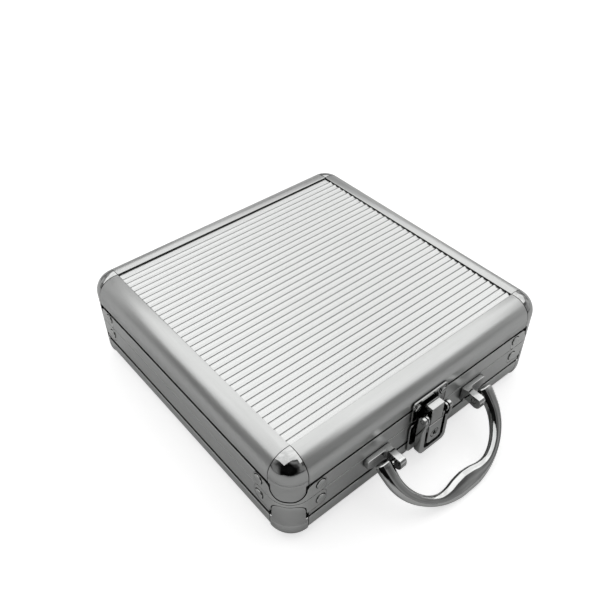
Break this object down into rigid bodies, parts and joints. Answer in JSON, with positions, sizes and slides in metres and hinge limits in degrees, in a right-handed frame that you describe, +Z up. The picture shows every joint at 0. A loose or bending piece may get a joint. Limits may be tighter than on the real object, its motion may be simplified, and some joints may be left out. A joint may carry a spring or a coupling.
{
  "type": "poker chip case",
  "caption": "Square aluminium carry case with ribbed lid panel, polished ball corners, key latch and drop handle; tray inside for chips, cards and dice.",
  "frame": {"origin": "middle of the footprint, handle and hinges included, on the surface that the case stands on", "axes": "+Z up; +X to the right seen from the front; the latch and handle face -Y, the hinges are at +Y"},
  "size_m": [0.207, 0.2466, 0.065],
  "materials": {
    "satin_aluminium": "satin",
    "ribbed_panel": "satin",
    "polished_chrome": "polished",
    "plated_steel": "satin",
    "black_board": "matte",
    "black_foam": "matte"
  },
  "bodies": {
    "lid": {"hinge_lid_leaf_left": "plated_steel", "hinge_lid_leaf_right": "plated_steel", "lid_corner_back_left": "polished_chrome", "lid_corner_back_right": "polished_chrome", "lid_corner_front_left": "polished_chrome", "lid_corner_front_right": "polished_chrome", "lid_corner_plate_back_left": "plated_steel", "lid_corner_plate_back_right": "plated_steel", "lid_corner_plate_front_left": "plated_steel", "lid_corner_plate_front_right": "plated_steel", "lid_foam_pad": "black_foam", "lid_mouth_back": "satin_aluminium", "lid_mouth_front": "satin_aluminium", "lid_mouth_left": "satin_aluminium", "lid_mouth_right": "satin_aluminium", "lid_panel": "ribbed_panel", "lid_profile_back": "satin_aluminium", "lid_profile_front": "satin_aluminium", "lid_profile_left": "satin_aluminium", "lid_profile_right": "satin_aluminium", "lid_wall_boards": "black_board", "strike_plate": "polished_chrome"},
    "base": {"base_corner_back_left": "polished_chrome", "base_corner_back_right": "polished_chrome", "base_corner_front_left": "polished_chrome", "base_corner_front_right": "polished_chrome", "base_corner_plate_back_left": "plated_steel", "base_corner_plate_back_right": "plated_steel", "base_corner_plate_front_left": "plated_steel", "base_corner_plate_front_right": "plated_steel", "base_mouth_back": "satin_aluminium", "base_mouth_front": "satin_aluminium", "base_mouth_left": "satin_aluminium", "base_mouth_right": "satin_aluminium", "base_panel": "ribbed_panel", "base_profile_back": "satin_aluminium", "base_profile_front": "satin_aluminium", "base_profile_left": "satin_aluminium", "base_profile_right": "satin_aluminium", "base_wall_boards": "black_board", "chip_tray": "black_foam", "handle_bracket_left": "polished_chrome", "handle_bracket_right": "polished_chrome", "handle_pin_left": "polished_chrome", "handle_pin_right": "polished_chrome", "hinge_base_leaf_left": "plated_steel", "hinge_base_leaf_right": "plated_steel", "hinge_pin_left": "plated_steel", "hinge_pin_right": "plated_steel", "latch_base_plate": "polished_chrome", "lever_pin_left": "polished_chrome", "lever_pin_right": "polished_chrome"},
    "lever": {"claw_pin": "polished_chrome", "latch_lever": "polished_chrome"},
    "claw": {"latch_claw": "polished_chrome"},
    "lock": {"lock_cylinder": "plated_steel"},
    "handle": {"handle": "polished_chrome"}
  },
  "joints": [
    {"name": "lid_hinge", "type": "hinge", "parent": "base", "child": "lid", "pos_m": [0, 0.12093, 0.0345], "axis": [-1, 0, 0], "range_deg": [0, 100]},
    {"name": "handle_pivot", "type": "hinge", "parent": "base", "child": "handle", "pos_m": [0, -0.09377, 0.0304], "axis": [-1, 0, 0], "range_deg": [0, 120]},
    {"name": "lever_pivot", "type": "hinge", "parent": "base", "child": "lever", "pos_m": [0, -0.09027, 0.041], "axis": [-1, 0, 0], "range_deg": [0, 110]},
    {"name": "claw_pivot", "type": "hinge", "parent": "lever", "child": "claw", "pos_m": [0, -0.08977, 0.0374], "axis": [-1, 0, 0], "range_deg": [-110, 0]},
    {"name": "key_turn", "type": "hinge", "parent": "lever", "child": "lock", "pos_m": [0, -0.09177, 0.0248], "axis": [0, -1, 0], "range_deg": [0, 90]}
  ],
  "couplings": [
    {"joint": "claw_pivot", "follows": "lever_pivot", "ratio": -1}
  ]
}
